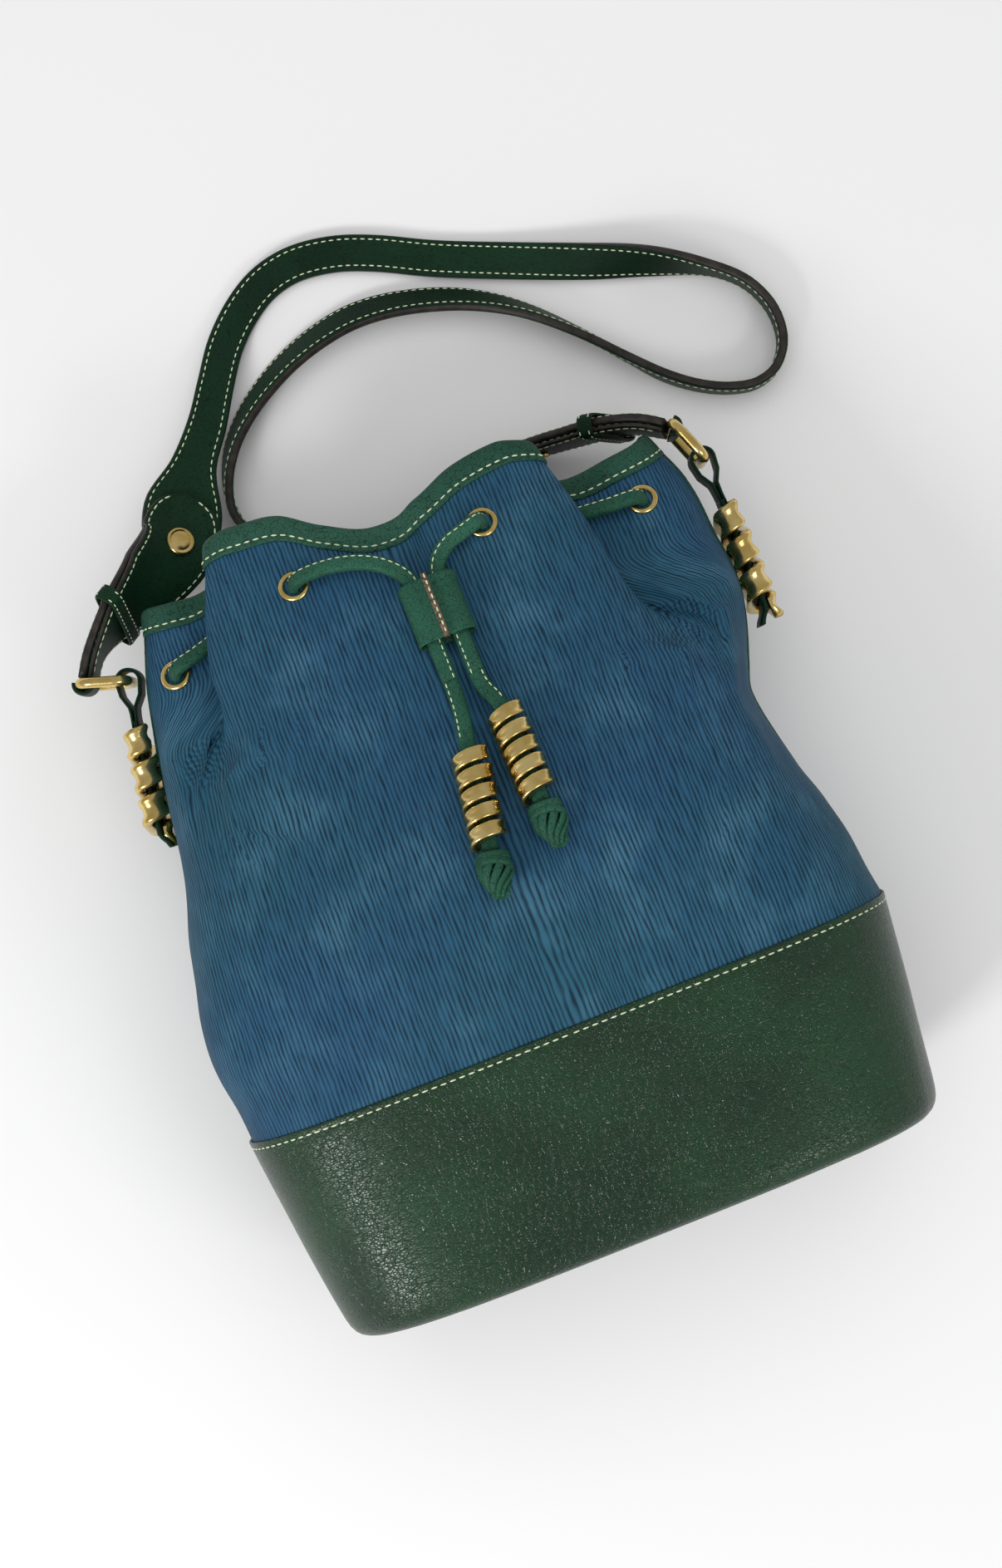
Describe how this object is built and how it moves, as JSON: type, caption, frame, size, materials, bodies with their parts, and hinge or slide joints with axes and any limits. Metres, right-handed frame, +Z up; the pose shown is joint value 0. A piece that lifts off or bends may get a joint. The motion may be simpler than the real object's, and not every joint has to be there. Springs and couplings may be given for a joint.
{
  "type": "bucket bag",
  "caption": "Leather drawstring bucket bag lying on its back, with a round-cornered base, gathered mouth, eyelets, slider, beaded lace ends and a shoulder strap on rings.",
  "frame": {"origin": "on the table under the bag, on the middle line of its back, 150 mm above the bottom of the base", "axes": "+Z up from the table out of the front of the bag, +Y towards the mouth, +X to the right seen from the front"},
  "size_m": [0.337, 0.434, 0.1592],
  "materials": {
    "base_leather": "pebbled dark green leather, satin",
    "body_leather": "blue leather with fine upright ribs, soft sheen",
    "binding_leather": "green leather binding with pale stitches",
    "strap_leather": "dark green strap leather with pale stitches and dark edges",
    "lace_leather": "green folded and stitched leather lace",
    "lining_cloth": "near-black green lining",
    "board": "stiff board",
    "brass": "polished yellow brass"
  },
  "bodies": {
    "bag": {"base_band": "base_leather", "base_bottom": "base_leather", "base_board": "board", "front_panel": "body_leather", "back_panel": "body_leather", "lining": "lining_cloth", "rim_binding": "binding_leather", "side_strip_left": "binding_leather", "side_strip_right": "binding_leather", "side_tab_left": "strap_leather", "side_tab_right": "strap_leather", "side_coil_left": "brass", "side_coil_right": "brass", "drawstring": "lace_leather", "cord_end_left": "lace_leather", "cord_end_right": "lace_leather", "knot_left": "lace_leather", "knot_right": "lace_leather", "eyelet_front_left_1": "brass", "eyelet_front_left_2": "brass", "eyelet_front_left_3": "brass", "eyelet_front_right_1": "brass", "eyelet_front_right_2": "brass", "eyelet_front_right_3": "brass", "eyelet_back_left_1": "brass", "eyelet_back_left_2": "brass", "eyelet_back_left_3": "brass", "eyelet_back_right_1": "brass", "eyelet_back_right_2": "brass", "eyelet_back_right_3": "brass"},
    "slider": {"slider": "lace_leather"},
    "bead_left": {"bead_left": "brass"},
    "bead_right": {"bead_right": "brass"},
    "strap": {"shoulder_strap": "strap_leather", "strap_keeper_left": "strap_leather", "strap_keeper_right": "strap_leather", "strap_rivet_left": "brass", "strap_rivet_right": "brass"},
    "ring_left": {"ring_left": "brass", "tab_loop_left": "strap_leather"},
    "ring_right": {"ring_right": "brass", "tab_loop_right": "strap_leather"}
  },
  "joints": [
    {"name": "slider_slide", "type": "slide", "parent": "bag", "child": "slider", "axis": [0, -0.9524, 0.3048], "range_m": [0, 0.01]},
    {"name": "bead_left_slide", "type": "slide", "parent": "bag", "child": "bead_left", "axis": [0.1496, 0.9408, -0.3041], "range_m": [0, 0.008]},
    {"name": "bead_right_slide", "type": "slide", "parent": "bag", "child": "bead_right", "axis": [-0.0144, 0.9451, -0.3266], "range_m": [0, 0.006]},
    {"name": "strap_swing", "type": "hinge", "parent": "bag", "child": "strap", "pos_m": [0, 0.12863, 0.052], "axis": [1, -0.0083, 0], "range_deg": [0, 18]},
    {"name": "ring_left_swivel", "type": "hinge", "parent": "strap", "child": "ring_left", "pos_m": [-0.13572, 0.13532, 0.052], "axis": [0, 0, 1], "range_deg": [0, 4]},
    {"name": "ring_right_swivel", "type": "hinge", "parent": "strap", "child": "ring_right", "pos_m": [0.12974, 0.14522, 0.052], "axis": [0, 0, 1], "range_deg": [0, 4]}
  ]
}
